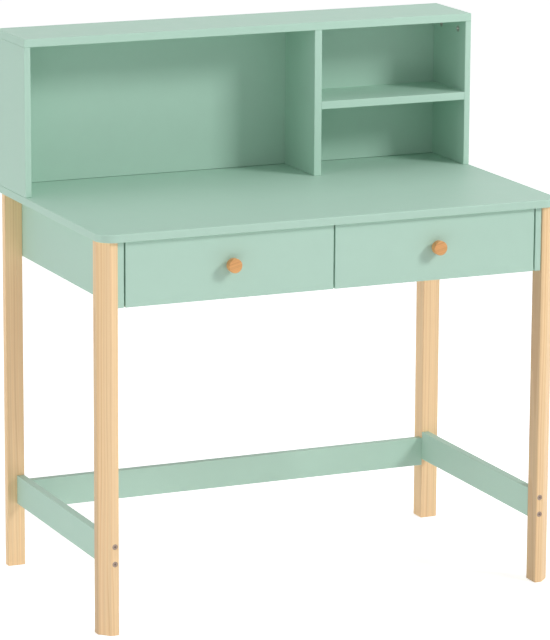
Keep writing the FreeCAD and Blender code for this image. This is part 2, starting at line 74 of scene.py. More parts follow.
class Bench:
    """A node tree, with the few kinds of node that the finishes are made of."""

    def __init__(self, tree):
        self.tree = tree

    def add(self, kind, inputs=None, **settings):
        """The outputs of a new node; inputs that are sockets get linked, and the others get the value."""
        made = self.tree.nodes.new(kind if kind.startswith("NodeGroup") else "ShaderNode" + kind)
        for name, value in settings.items():
            setattr(made, name, value)
        for name, value in (inputs or {}).items():
            if isinstance(value, bpy.types.NodeSocket):
                self.tree.links.new(value, made.inputs[name])
            else:
                made.inputs[name].default_value = value
        return made.outputs

    def calc(self, operation, first, second=0.0, third=0.0):
        """The result of one Math node."""
        return self.add("Math", {0: first, 1: second, 2: third}, operation=operation)[0]

    def sway(self, wave, depth, base=1.0):
        """A base value that a wave from 0 to 1 moves up and down."""
        return self.calc("MULTIPLY_ADD", self.calc("SUBTRACT", wave, 0.5), depth, base)

    def noise(self, vector, scale, detail=2.0):
        """Noise from 0 to 1 whose features are 1/scale metres long along each axis."""
        spread = self.add("Mapping", {"Vector": vector, "Scale": scale})[0]
        return self.add("TexNoise", {"Vector": spread, "Scale": 1.0, "Detail": detail})["Fac"]

    def rise(self, value, start, end):
        """A value eased from 0 to 1 while the input goes from start to end."""
        limits = {"Value": value, "From Min": start, "From Max": end}
        return self.add("MapRange", limits, interpolation_type="SMOOTHSTEP")[0]

    def mix(self, share, first, second, blend="MIX"):
        """Two colours mixed by a share from 0 to 1; the node's colour sockets are known by their places."""
        return self.add("Mix", {0: share, 6: first, 7: second}, data_type="RGBA", blend_type=blend)[2]

    def tone(self, colour, level, blue_level=None):
        """A colour made lighter or darker by a level round 1; blue may have its own."""
        blue = level if blue_level is None else blue_level
        grey = self.add("CombineColor", {0: level, 1: level, 2: blue})[0]
        return self.mix(1.0, colour, grey, "MULTIPLY")

    def seen(self):
        """1 for what the camera sees, straight or in gloss or glass, and 0 for other rays."""
        rays = self.add("LightPath")
        mirrored = self.calc("MAXIMUM", rays["Is Glossy Ray"], rays["Is Transmission Ray"])
        return self.calc("MAXIMUM", rays["Is Camera Ray"], mirrored)


def new_group(name, place, colours, numbers):
    """A bench on a new shader node group, and its inputs: a place, colours and numbers."""
    tree = bpy.data.node_groups.new(name, "ShaderNodeTree")
    inputs = {place: "Vector", **dict.fromkeys(colours, "Color"), **dict.fromkeys(numbers, "Float")}
    for way, sockets in (("INPUT", inputs), ("OUTPUT", SURFACE)):
        for label, kind in sockets.items():
            tree.interface.new_socket(label, in_out=way, socket_type="NodeSocket" + kind)
    bench = Bench(tree)
    return bench, bench.add("NodeGroupInput")


def clear_bench(owner):
    """A bench on the emptied tree of a material or a world."""
    owner.use_nodes = True
    owner.node_tree.nodes.clear()
    return Bench(owner.node_tree)


print("every group puts out:", list(SURFACE))

# %% [markdown]
# Sprayed paint, powder coat, foil and moulded nylon have the same kind of skin: the tone drifts a little over
# a hand's width, the gloss changes in patches, and close up the surface is finely pebbled. Edges are made
# lighter, partly as wear from sanding and handling and partly as painted highlight along the rounded edges and
# painted light on narrow front edges. One group makes all of this from the place on the piece and from an edge
# mark on its rounded faces. Bare fibreboard fits in too, with a strong speckle for its fibres.

# %% A group for coated skins
DRIFT_SCALE, PATCH_SCALE = (5.0, 5.0, 5.0), (38.0, 38.0, 38.0)
# The tone lift on marked edges is partly rubbed wear and partly painted highlight and painted light.
RUB_AND_LIGHT_TONE, RUBBED_GLOSS, PATCH_GLOSS = 0.10, -0.06, 0.22
skin, given = new_group(
    "coated_skin", "Vector", ["Tint"], ["Drift", "Pebble Size", "Speckle", "Base Gloss", "Edge"])
drift = skin.noise(given["Vector"], DRIFT_SCALE)
patch = skin.noise(given["Vector"], PATCH_SCALE, detail=3.0)
centred = skin.calc("SUBTRACT", skin.calc("ADD", drift, patch), 1.0)
fineness = skin.calc("DIVIDE", 1.0, given["Pebble Size"])
pebbles = skin.add("TexNoise", {"Vector": given["Vector"], "Detail": 1.0, "Scale": fineness})["Fac"]
level = skin.calc("MULTIPLY_ADD", centred, given["Drift"], 1.0)
level = skin.sway(pebbles, given["Speckle"], level)
# The edge mark lifts the tone: rubbed wear plus painted highlight and painted light.
level = skin.calc("MULTIPLY_ADD", given["Edge"], RUB_AND_LIGHT_TONE, level)
gloss = skin.sway(patch, PATCH_GLOSS, given["Base Gloss"])
gloss = skin.calc("MULTIPLY_ADD", given["Edge"], RUBBED_GLOSS, gloss)
skin.add("NodeGroupOutput", {"Color": skin.tone(given["Tint"], level), "Roughness": gloss, "Height": pebbles})
print("coated_skin:", len(skin.tree.nodes), "nodes")

# %% [markdown]
# Wood is a bundle of nested cones, so its figure is best made in three dimensions: rings round a pith, bent
# by slow noise, light where the tree grew in spring and darker where it grew in summer. Faces, edges and end
# grain then agree by themselves. Good and bad years make strong and faint rings, the heart is darker than the
# young wood, and a few pin knots run through. Each wooden piece carries a "grain" attribute, its place in its
# own log with the pith along Z, so that no two legs show the same figure.

# %% A group for wood
WAVES = {"slow": ((22.0, 22.0, 1.7), 2.0), "fibre": ((1500.0, 1500.0, 22.0), 2.0),
         "streak": ((210.0, 210.0, 2.2), 3.0), "broad": ((60.0, 60.0, 1.1), 1.0)}
ACROSS = (1.0, 1.0, 0.0)
YEARS_SCALE, WARP_DEPTH = (130.0, 130.0, 130.0), 0.0045
HEART, KNOT_REACH, KNOT_RIM = (0.068, 0.064), (0.14, 0.02), (0.55, 0.85)
KNOT_SCALE, PIN_KNOTS = (24.0, 24.0, 14.0), 0.90
SUMMER_START, SUMMER_END, FAINTEST_YEAR = (0.15, 0.80), (1.0, 0.86), 0.25
FIBRE_TONE, STREAK_TONE, BROAD_TONE, SLOW_WARMTH = 0.10, 0.26, 0.12, 0.10
LACQUER_GLOSS, FIBRE_GLOSS, SUMMER_GLOSS, SUMMER_RELIEF = 0.44, 0.16, -0.07, 0.6
wood, given = new_group(
    "grown_wood", "Grain", ["Spring Wood", "Summer Wood", "Knot Wood"],
    ["Heart Tone", "Ring Gap", "Figure", "Knots"])
flat = wood.add("VectorMath", {0: given["Grain"], 1: ACROSS}, operation="MULTIPLY")[0]
radius = wood.add("VectorMath", {0: flat}, operation="LENGTH")["Value"]
slow, fibre, streak, broad = [wood.noise(given["Grain"], *wave) for wave in WAVES.values()]
spread = wood.add("Mapping", {"Vector": given["Grain"], "Scale": KNOT_SCALE})[0]
cells = wood.add("TexVoronoi", {"Vector": spread, "Scale": 1.0}, feature="F1")
has_knot = wood.calc("GREATER_THAN", wood.add("SeparateColor", {0: cells["Color"]})[0], PIN_KNOTS)
wanted = wood.calc("MULTIPLY", has_knot, given["Knots"])
near_knot = wood.calc("MULTIPLY", wood.rise(cells["Distance"], *KNOT_REACH), wanted)
bend = wood.calc("MULTIPLY_ADD", near_knot, WARP_DEPTH, wood.sway(slow, 4 * WARP_DEPTH, radius))
years = wood.noise(wood.add("CombineXYZ", {0: bend})[0], YEARS_SCALE, detail=1.0)
ring = wood.calc("DIVIDE", wood.sway(years, 2 * WARP_DEPTH, bend), given["Ring Gap"])
phase = wood.calc("FRACT", ring)
vigour = wood.add("TexWhiteNoise", {"W": wood.calc("FLOOR", ring)}, noise_dimensions="1D")["Value"]
summer = wood.calc("MULTIPLY", wood.rise(phase, *SUMMER_START), wood.rise(phase, *SUMMER_END))
summer = wood.calc("MULTIPLY", summer, wood.calc("MULTIPLY_ADD", vigour, 1 - FAINTEST_YEAR, FAINTEST_YEAR))
ringed = wood.mix(wood.calc("MULTIPLY", summer, given["Figure"]), given["Spring Wood"], given["Summer Wood"])
knotted = wood.mix(wood.rise(near_knot, *KNOT_RIM), ringed, given["Knot Wood"])
lightness = 1.0
for wave, depth in ((fibre, FIBRE_TONE), (streak, STREAK_TONE), (broad, BROAD_TONE)):
    lightness = wood.sway(wave, depth, lightness)
heart_depth = wood.calc("SUBTRACT", 1.0, given["Heart Tone"])
darkening = wood.calc("MULTIPLY", wood.rise(radius, *HEART), heart_depth)
lightness = wood.calc("MULTIPLY", lightness, wood.calc("SUBTRACT", 1.0, darkening))
gloss = wood.calc("MULTIPLY_ADD", fibre, FIBRE_GLOSS, LACQUER_GLOSS)
wood.add("NodeGroupOutput", {
    "Color": wood.tone(knotted, lightness, wood.sway(slow, SLOW_WARMTH, lightness)),
    "Roughness": wood.calc("MULTIPLY_ADD", summer, SUMMER_GLOSS, gloss),
    "Height": wood.calc("MULTIPLY_ADD", summer, SUMMER_RELIEF, fibre)})
print("grown_wood:", len(wood.tree.nodes), "nodes")

# %% [markdown]
# Zinc plate is made of small crystals that each catch the light at their own angle, with hair scratches from
# the packing box across them. A cell pattern gives the crystals and a stretched noise the scratches.

# %% A group for plated steel
SCRATCH_SCALE = (4000.0, 300.0, 2500.0)
FACET_TONE, PLATE_GLOSS, FACET_GLOSS, SCRATCH_GLOSS = 0.18, 0.30, 0.12, 0.14
plate, given = new_group("plated_steel", "Vector", ["Tint"], ["Crystal Size"])
fineness = plate.calc("DIVIDE", 1.0, given["Crystal Size"])
crystals = plate.add("TexVoronoi", {"Vector": given["Vector"], "Scale": fineness}, feature="F1")
facet = plate.add("SeparateColor", {0: crystals["Color"]})[0]
scratch = plate.noise(given["Vector"], SCRATCH_SCALE, detail=1.0)
gloss = plate.calc("MULTIPLY_ADD", facet, FACET_GLOSS, PLATE_GLOSS)
gloss = plate.calc("MULTIPLY_ADD", scratch, SCRATCH_GLOSS, gloss)
tint = plate.tone(given["Tint"], plate.sway(facet, FACET_TONE))
plate.add("NodeGroupOutput", {"Color": tint, "Roughness": gloss, "Height": scratch})
print("plated_steel:", len(plate.tree.nodes), "nodes")

# %% [markdown]
# A finish is one shader, one of the groups above and a bump, which is given as its depth in metres and its
# strength. Wood is placed by its grain and everything else by Object coordinates. The paint is a soft satin
# green; its colour is the one that the lit front of a drawer shows.

# %% Finishes
SATIN = {"Specular IOR Level": 0.28}
LACQUER = {**SATIN, "Coat Weight": 0.06, "Coat Roughness": 0.35}
COATED_BUMP, FIBRE_BUMP, ENAMEL_BUMP = (0.0001, 0.25), (0.0005, 0.8), (0.00015, 0.35)
WOOD_BUMP, PLATE_BUMP, SOCKET_BUMP = (0.0002, 0.3), (0.00005, 0.2), (0.00005, 0.3)
plain_count = len(bpy.data.materials)


def new_finish(name, group, values, bump, constants):
    """A material with a group on its colour, roughness and bump, and constants on its shader."""
    material = bpy.data.materials.new(name)
    bench = clear_bench(material)
    if group is wood:
        places = {"Grain": bench.add("Attribute", attribute_name="grain")["Vector"]}
    else:
        places = {"Vector": bench.add("TexCoord")["Object"]}
    if group is skin:
        places["Edge"] = bench.add("Attribute", attribute_name="edge")["Fac"]
    surface = bench.add("Group", {**places, **values}, node_tree=group.tree)
    relief = bench.add("Bump", {"Height": surface["Height"], "Distance": bump[0], "Strength": bump[1]})[0]
    shader = bench.add("BsdfPrincipled", {
        "Base Color": surface["Color"], "Roughness": surface["Roughness"], "Normal": relief, **constants})[0]
    bench.add("OutputMaterial", {"Surface": shader})
    return material


def coated(name, tint, drift_share, pebble, speckle, base_gloss, bump=COATED_BUMP):
    """A painted, coated or moulded finish, or bare board."""
    return new_finish(name, skin, {
        "Tint": srgb(*tint), "Drift": drift_share, "Pebble Size": pebble, "Speckle": speckle,
        "Base Gloss": base_gloss}, bump, SATIN)


def wooden(name, spring, summer_tint, knot_tint, ring_gap, figure, heart_tone=1.0, knots=0.0):
    """A clear-lacquered wood."""
    return new_finish(name, wood, {
        "Spring Wood": srgb(*spring), "Summer Wood": srgb(*summer_tint), "Knot Wood": srgb(*knot_tint),
        "Ring Gap": ring_gap, "Figure": figure, "Heart Tone": heart_tone, "Knots": knots}, WOOD_BUMP, LACQUER)


def plated(name, tint, crystal_size, metallic, bump=PLATE_BUMP):
    """Plated steel, bright or worn."""
    values = {"Tint": srgb(*tint), "Crystal Size": crystal_size}
    return new_finish(name, plate, values, bump, {"Metallic": metallic})


mint_paint = coated("mint_paint", (183, 215, 199), 0.035, 0.0016, 0.02, 0.50)
drawer_board = coated("drawer_board", (236, 233, 225), 0.03, 0.0007, 0.02, 0.40)
drawer_foil = coated("drawer_foil", (226, 221, 208), 0.05, 0.0012, 0.06, 0.48)
hardboard_back = coated("hardboard_back", (132, 96, 64), 0.25, 0.0014, 0.60, 0.75, FIBRE_BUMP)
runner_enamel = coated("runner_enamel", (230, 228, 220), 0.03, 0.0008, 0.02, 0.34, ENAMEL_BUMP)
nylon = coated("nylon", (236, 235, 228), 0.03, 0.0006, 0.02, 0.38)
pine = wooden("pine", (250, 216, 170), (230, 184, 131), (112, 74, 46), 0.0046, 0.52, 0.72, 1.0)
knob_wood = wooden("knob_wood", (228, 170, 110), (200, 142, 86), (120, 78, 44), 0.0030, 0.7)
beech = wooden("beech", (210, 172, 128), (190, 148, 104), (130, 90, 54), 0.0022, 0.6)
zinc_steel = plated("zinc_steel", (196, 194, 188), 0.0009, 1.0)
bronzed_steel = plated("bronzed_steel", (168, 149, 137), 0.0007, 0.75)
# A dark second finish for the inside of sockets: painted shade standing in for the shadow in the recess.
socket_shade = plated("socket_shade", (140, 124, 110), 0.0005, 0.3, SOCKET_BUMP)
print("finishes:", len(bpy.data.materials) - plain_count)

# %% [markdown]
# Every piece goes through the same few steps: take a finished bmesh, shade it smoothly, let it ride on its
# body and hide the plain solid that it stands for. With weighted normals a big flat face outweighs its narrow
# rounded edge, so light runs evenly over the board and turns only at the edge.

# %% Helpers for pieces
SHARP_TURN = math.radians(40)
SAME = 1e-5
MERGE = 1e-6
FLAT_WEIGHT = 100


def start_mesh():
    """An empty bmesh with the two attributes that the finishes read."""
    bm = bmesh.new()
    bm.faces.layers.float.new("edge")
    bm.verts.layers.float_vector.new("grain")
    return bm


def add_box(bm, low, high):
    """A cuboid between two corners."""
    bmesh.ops.create_cube(bm, size=1.0, matrix=Matrix.LocRotScale((low + high) / 2, None, high - low))


def verts_of(geom):
    """The vertices among what an operator gives back."""
    return [item for item in geom if isinstance(item, bmesh.types.BMVert)]


def middle_of(node):
    """The middle of a node's box."""
    low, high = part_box(node)
    return (low + high) / 2


def ease(bm, edges, radius, segments=3, rub_and_highlight=0.4):
    """Rounds edges and marks how much the rounded faces are lightened, as rubbed wear and painted highlight.
    """
    mark = bm.faces.layers.float["edge"]
    made = bmesh.ops.bevel(
        bm, geom=edges, offset=radius, offset_type="OFFSET", segments=segments, profile=0.5, affect="EDGES",
        material=-1, clamp_overlap=True)
    for face in made["faces"]:
        face[mark] = rub_and_highlight


def finish_piece(name, bm, materials, body, slot, *nodes):
    """Makes the object, lets it ride on its body and hides the nodes that it stands for."""
    mesh = bpy.data.meshes.new(name)
    bm.to_mesh(mesh)
    bm.free()
    for material in materials:
        mesh.materials.append(material)
    mesh.shade_smooth()
    mesh.set_sharp_from_angle(angle=SHARP_TURN)
    piece = bpy.data.objects.new(name, mesh)
    scene.collection.objects.link(piece)
    weighted = piece.modifiers.new("flat_faces", "WEIGHTED_NORMAL")
    weighted.keep_sharp = True
    weighted.weight = FLAT_WEIGHT
    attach(piece, body)
    if nodes:
        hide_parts(*nodes)


print("edges turn sharp at", round(math.degrees(SHARP_TURN)), "degrees")

# %% [markdown]
# Knobs, rollers, screws and cams are all turned on a lathe or formed round an axis, so one helper spins an
# outline of (radius, height) points and closes it. A driver's socket is the same ring of points pulled to a
# hexagon or a cross, which is how a punch would form it in the head.

# %% Helpers for turned pieces
SIXTH, QUARTER = math.radians(60), math.radians(90)


def spin_outline(outline, steps):
    """A mesh spun about Z from (radius, height) points in millimetres."""
    bm = start_mesh()
    verts = [bm.verts.new((r * MM, 0, h * MM)) for r, h in outline]
    edges = [bm.edges.new(pair) for pair in zip(verts, verts[1:])]
    bmesh.ops.spin(
        bm, geom=verts + edges, cent=(0, 0, 0), axis=(0, 0, 1), dvec=(0, 0, 0), angle=2 * math.pi,
        steps=steps, use_merge=True, use_duplicate=False)
    bmesh.ops.remove_doubles(bm, verts=bm.verts, dist=MERGE)
    bmesh.ops.recalc_face_normals(bm, faces=bm.faces)
    return bm


def hexagon(angle, half_width):
    """Radius of a hexagon at an angle, from half its width across the flats."""
    return half_width / math.cos(angle % SIXTH - SIXTH / 2)


def cross(angle, reach, half_width):
    """Radius of a cross-shaped recess at an angle."""
    off_arm = abs((angle + QUARTER / 2) % QUARTER - QUARTER / 2)
    return min(reach / math.cos(off_arm), half_width / max(math.sin(off_arm), SAME))


def shape_socket(bm, radius, shape):
    """Pulls the rings of one radius to a socket's outline."""
    for vert in bm.verts:
        spread = math.hypot(vert.co.x, vert.co.y)
        if abs(spread - radius * MM) < MERGE:
            target = shape(math.atan2(vert.co.y, vert.co.x)) * MM / spread
            vert.co.x *= target
            vert.co.y *= target


def shade_socket(bm, reach, depth):
    """Gives the faces of a socket, as far out and as deep as it goes, the second finish, whose dark tint is
    painted shade.
    """
    for face in bm.faces:
        if all(math.hypot(v.co.x, v.co.y) < reach * MM and v.co.z > -depth * MM for v in face.verts):
            face.material_index = 1


def cross_punched(outline, steps, rings):
    """A spun piece with a cross punched in it, each ring of which is (radius, reach, half width)."""
    bm = spin_outline(outline, steps)
    for radius, reach, half_width in rings:
        shape_socket(bm, radius, lambda angle: cross(angle, reach, half_width))
    return bm


def facing(point, direction):
    """The matrix that stands a spun piece at a point with its top towards a direction."""
    return Matrix.Translation(point) @ Vector(direction).to_track_quat("Z", "Y").to_matrix().to_4x4()


def copies(bm, places, whole=None):
    """One bmesh with a copy at each place, added to a whole if there is one already."""
    pattern = bpy.data.meshes.new("pattern")
    bm.to_mesh(pattern)
    bm.free()
    whole = start_mesh() if whole is None else whole
    for place in places:
        before = len(whole.verts)
        whole.from_mesh(pattern)
        whole.verts.ensure_lookup_table()
        bmesh.ops.transform(whole, matrix=place, verts=whole.verts[before:])
    bpy.data.meshes.remove(pattern)
    return whole


print("spun points merge within", MERGE / MM, "mm")

# %% [markdown]
# Screws, cams and dowels are grouped in the frame, several solids to a node. Their places are read back from
# the node's own mesh: a merged copy falls apart into islands, and each island's corners tell where one fixing
# sits and which way it lies. A cam's facing follows from the board that holds it. All the seats are gathered
# first, because a board is drilled before it is painted.

# %% Where the fixings sit
CAM_BODIES = {"cam_locks": "desk", **{f"{hand}_drawer_cam_fittings": f"{hand}_drawer" for hand in HANDS}}
CAM_BOARDS = [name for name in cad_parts
              if name.endswith(("_apron", "_stretcher", "_partition", "_divider", "_side"))]


def solids_of(node):
    """The lowest and highest corner of each separate solid in a node."""
    bm = bmesh.new()
    bm.from_mesh(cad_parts[node].data)
    bmesh.ops.remove_doubles(bm, verts=bm.verts, dist=MERGE)
    unseen = set(bm.verts)
    found = []
    while unseen:
        island, waiting = [], [unseen.pop()]
        while waiting:
            vert = waiting.pop()
            island.append(vert.co.copy())
            fresh = unseen.intersection(edge.other_vert(vert) for edge in vert.link_edges)
            unseen -= fresh
            waiting += fresh
        found.append([Vector([end(along) for along in zip(*island)]) for end in (min, max)])
    bm.free()
    return sorted(found, key=lambda corners: [round(c / MM, 2) for c in (*corners[0], *corners[1])])


def inside(point, low, high):
    """True if a point lies in a box or on its surface."""
    return all(low[i] - SAME < point[i] < high[i] + SAME for i in range(3))


def head_seat(low, high, axis, sign):
    """The middle of a fixing's end and the way out of the board there."""
    point = (low + high) / 2
    point[axis] = high[axis] if sign > 0 else low[axis]
    outward = Vector((0, 0, 0))
    outward[axis] = sign
    return point, outward


def cam_seats(node):
    """The seats of the cams in a node; a bolt lies inside its board and has none."""
    found = []
    for low, high in solids_of(node):
        for board in CAM_BOARDS:
            board_low, board_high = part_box(board)
            if not inside((low + high) / 2, board_low, board_high):
                continue
            thin = min(range(3), key=lambda i: board_high[i] - board_low[i])
            for sign, end, face in ((1, high, board_high), (-1, low, board_low)):
                if abs(end[thin] - face[thin]) < SAME:
                    found.append(head_seat(low, high, thin, sign))
    return found


seats = {
    "rail_screws": [head_seat(*ends, AXES["Y"], math.copysign(1, ends[0].y))
                    for ends in solids_of("rail_screws")],
    "apron_screws": [head_seat(*ends, AXES["X"], math.copysign(1, -ends[0].x))
                     for ends in solids_of("apron_screws")],
    "hutch_screws": [head_seat(*ends, AXES["Z"], -1) for ends in solids_of("hutch_screws")],
    **{node: cam_seats(node) for node in CAM_BODIES},
}
places_of = {kind: [facing(*seat) for seat in spots] for kind, spots in seats.items()}
print("seats:", {kind: len(spots) for kind, spots in seats.items()})

# %% [markdown]
# A hole could be cut with a Boolean, but on a flat face it is simpler to bore it by hand: take the face away,
# draw a circle at each seat, fill the face again round the circles, then pull each circle inwards and close
# its floor. All the holes of one face go in together, because the fill needs every circle at once. Each kind
# is given as its radius and depth.

# %% Helper for drilling
HOLE_SIDES = 24
FLUSH = 0.999
SINK_HOLE, CAM_HOLE = (4.1 * MM, 2.2 * MM), (6.2 * MM, 8.0 * MM)
HOLES = {"rail_screws": (5.25 * MM, 3.2 * MM), "apron_screws": SINK_HOLE, "hutch_screws": SINK_HOLE,
         **dict.fromkeys(CAM_BODIES, CAM_HOLE)}


def holes_in(node):
    """The holes in a board's faces, as (point, outward, radius, depth)."""
    low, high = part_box(node)
    return [(point, outward, *HOLES[kind]) for kind, spots in seats.items() for point, outward in spots
            if inside(point, low, high) and not inside(point + outward * MM, low, high)]


def drill(bm, holes):
    """Bores flat-bottomed holes into the flat faces round their points."""
    faces = {}
    for hole in holes:
        point, outward = hole[:2]
        face = next(face for face in bm.faces if face.normal.dot(outward) > FLUSH
                    and abs((face.verts[0].co - point).dot(outward)) < SAME
                    and bmesh.geometry.intersect_face_point(face, point))
        faces.setdefault(face, []).append(hole)
    for face, face_holes in faces.items():
        outward = face_holes[0][1]
        rim = list(face.edges)
        bmesh.ops.delete(bm, geom=[face], context="FACES_ONLY")
        circles = []
        for point, _, radius, depth in face_holes:
            verts = bmesh.ops.create_circle(bm, cap_ends=False, segments=HOLE_SIDES, radius=radius,
                                            matrix=facing(point, outward))["verts"]
            circles.append((list(dict.fromkeys(edge for vert in verts for edge in vert.link_edges)), depth))
        outlines = rim + [edge for circle, _ in circles for edge in circle]
        bmesh.ops.triangle_fill(bm, use_beauty=True, use_dissolve=False, normal=outward, edges=outlines)
        for circle, depth in circles:
            pulled = bmesh.ops.extrude_edge_only(bm, edges=circle)["geom"]
            bottom = verts_of(pulled)
            bmesh.ops.translate(bm, vec=-depth * outward, verts=bottom)
            bmesh.ops.edgeloop_fill(bm, edges=[edge for edge in pulled if isinstance(edge, bmesh.types.BMEdge)
                                               and set(bottom).issuperset(edge.verts)])
    bmesh.ops.recalc_face_normals(bm, faces=bm.faces)
    return bm


print("kinds of hole:", len(HOLES))

# %% [markdown]
# The painted boards are sawn from smooth fibreboard, eased along the edges that show, and sprayed. An end
# that butts against another board is left square, as the saw leaves it, so the joint stays a fine line. A
# bevelled cuboid does for most. The hutch's back hangs a hair above the desktop, as a slot-in panel does,
# which shows as a dark seam.

# %% Painted boards
BOARD_EDGE = 1.0 * MM
BACK_SEAM = 0.5 * MM
FRONTWARD = -0.9
BUTT_ENDS = {
    "left_apron": ["+Z"],
    "right_apron": ["+Z"],
    "back_apron": ["-X", "+X", "+Z"],
    "centre_partition": ["+Y", "+Z"],
    "left_lower_rail": ["-Y", "+Y"],
    "right_lower_rail": ["-Y", "+Y"],
    "back_stretcher": ["-X", "+X"],
    "hutch_top": [],
    "hutch_left_side": ["+Z"],
    "hutch_right_side": ["+Z"],
    "hutch_divider": ["+Y", "+Z"],
    "hutch_shelf": ["-X", "+X", "+Y"],
    "hutch_back": ["-X", "+X", "+Z"],
}


def lies_on(edge, ends, low, high):
    """True if an edge lies in one of a board's butted ends."""
    levels = [(AXES[axis], (high if sign == "+" else low)[AXES[axis]]) for sign, axis in ends]
    return any(all(abs(vert.co[i] - level) < SAME for vert in edge.verts) for i, level in levels)


def board_mesh(low, high, ends, radius, segments=3):
    """A board with eased edges, and square ones round its butted ends."""
    bm = start_mesh()
    add_box(bm, low, high)
    ease(bm, [edge for edge in bm.edges if not lies_on(edge, ends, low, high)], radius, segments)
    return bm


def paint_front_light(bm, thickness):
    """Marks a board's narrow front edge for painted light, which lifts its tone as if more light fell on it.
    """
    mark = bm.faces.layers.float["edge"]
    for face in bm.faces:
        longest = max(edge.calc_length() for edge in face.edges)
        if face.normal.y < FRONTWARD and face.calc_area() < thickness * longest:
            face[mark] = 1.0


for node, ends in BUTT_ENDS.items():
    low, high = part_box(node)
    if node == "hutch_back":
        low.z += BACK_SEAM
    board = board_mesh(low, high, ends, BOARD_EDGE)
    # The hutch boards' narrow fronts are given painted light.
    if node.startswith("hutch"):
        paint_front_light(board, min(high - low))
    finish_piece("painted_" + node, drill(board, holes_in(node)), [mint_paint], "desk", "mint_paint", node)
print("painted boards:", len(BUTT_ENDS))

# %% [markdown]
# The desktop is the same board, but its two front corners are cut across to follow the legs under them and
# then softened. Its outline is drawn once, filled and pulled up to its thickness, and the bevel goes round
# twice: first the upright corners, then every edge above and below.

# %% Desktop
CORNER_CUT = 20.0 * MM
CORNER_ROUND, CORNER_STEPS = 11.0 * MM, 6
DESKTOP_EDGE = 1.6 * MM


def outline_prism(corners, bottom, top):
    """A straight-sided solid on an outline of (x, y) corners."""
    bm = start_mesh()
    base = bm.faces.new([bm.verts.new((x, y, bottom)) for x, y in corners])
    lifted = bmesh.ops.extrude_face_region(bm, geom=[base])["geom"]
    bmesh.ops.translate(bm, vec=(0, 0, top - bottom), verts=verts_of(lifted))
    bmesh.ops.recalc_face_normals(bm, faces=bm.faces)
    return bm


def upright(edge):
    """True for an edge that stands straight up."""
    return abs(edge.verts[0].co.z - edge.verts[1].co.z) > SAME


low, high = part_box("desktop")
bm = outline_prism([(low.x, high.y), (low.x, low.y + CORNER_CUT), (low.x + CORNER_CUT, low.y),
                    (high.x - CORNER_CUT, low.y), (high.x, low.y + CORNER_CUT), (high.x, high.y)],
                   low.z, high.z)
ease(bm, [edge for edge in bm.edges if upright(edge) and edge.verts[0].co.y < high.y - SAME], CORNER_ROUND,
     CORNER_STEPS, rub_and_highlight=0.0)
ease(bm, [edge for edge in bm.edges if not upright(edge)], DESKTOP_EDGE)
finish_piece("painted_desktop", drill(bm, holes_in("desktop")), [mint_paint], "desk", "mint_paint", "desktop")
print("desktop corners cut by", CORNER_CUT / MM, "mm")

# %% [markdown]
# The legs are square pine posts with the outside corner planed off, so that each has a broad facet towards
# the room. They are planed and sanded, so the arrises are only just broken. Each one is given its own place
# in a log: where the pith lies beside it in millimetres, how far up the tree it grew in metres, and a slight
# lean, which is what makes the figure run out along a post.

# %% Legs
LEG_FACET = 19.0 * MM
LEG_ARRIS = 1.3 * MM
FOOT_ARRIS, FOOT_STEPS = 1.5 * MM, 2
# All the piths lie to the left of their legs, so the darker heart reaches the left-facing faces of the front
# legs and darkens them.
LOGS = {
    "front_left_leg": ((-80, 9), 0.45, 0.004),
    "front_right_leg": ((-83, 4), 1.60, -0.003),
    "back_left_leg": ((-96, -9), 2.30, 0.009),
    "back_right_leg": ((-99, -5), 3.90, -0.002),
}
UPRIGHT_GRAIN = Matrix()
LEVEL_GRAIN = Matrix.Rotation(math.pi / 2, 4, "Y")


def mark_grain(bm, centre, pith, height, lean, lay=UPRIGHT_GRAIN):
    """Stores each point's place in the log that the piece was sawn from."""
    layer = bm.verts.layers.float_vector["grain"]
    place = (Matrix.Rotation(lean, 4, "Y") @ Matrix.Translation((-pith[0] * MM, -pith[1] * MM, height)) @ lay
             @ Matrix.Translation(-centre))
    for vert in bm.verts:
        vert[layer] = place @ vert.co


for node, (pith, height, lean) in LOGS.items():
    low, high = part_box(node)
    inner_x, outer_x = sorted((low.x, high.x), key=abs)
    inner_y, outer_y = sorted((low.y, high.y), key=abs)
    facet_x, facet_y = [outer - math.copysign(LEG_FACET, outer) for outer in (outer_x, outer_y)]
    bm = outline_prism([(inner_x, inner_y), (outer_x, inner_y), (outer_x, facet_y), (facet_x, outer_y),
                        (inner_x, outer_y)], low.z, high.z)
    ease(bm, [edge for edge in bm.edges if upright(edge)], LEG_ARRIS)
    foot = [edge for edge in bm.edges if all(v.co.z < low.z + SAME for v in edge.verts)]
    ease(bm, foot, FOOT_ARRIS, FOOT_STEPS)
    drill(bm, holes_in(node))
    mark_grain(bm, middle_of(node), pith, height, lean)
    finish_piece("pine_" + node, bm, [pine], "desk", "pine", node)
print("legs:", len(LOGS))

# %% [markdown]
# A drawer's front is a painted board like the others. Behind it the box is plain: white-faced sides and back,
# and a thin bottom that slides in grooves along the sides. The grooves are real here too: two cuts divide a
# side's inner face, and the strip between them is pushed in.

# %% Drawer boxes
GROOVE_DEPTH = 5.0 * MM
BOX_EDGE, PANEL_EDGE, BOX_STEPS = 0.5 * MM, 0.3 * MM, 2
DOWNWARD = -0.5


def slice_across(bm, point, normal):
    """Divides the faces along a plane."""
    everything = bm.verts[:] + bm.edges[:] + bm.faces[:]
    bmesh.ops.bisect_plane(bm, geom=everything, plane_co=point, plane_no=normal, dist=MERGE)


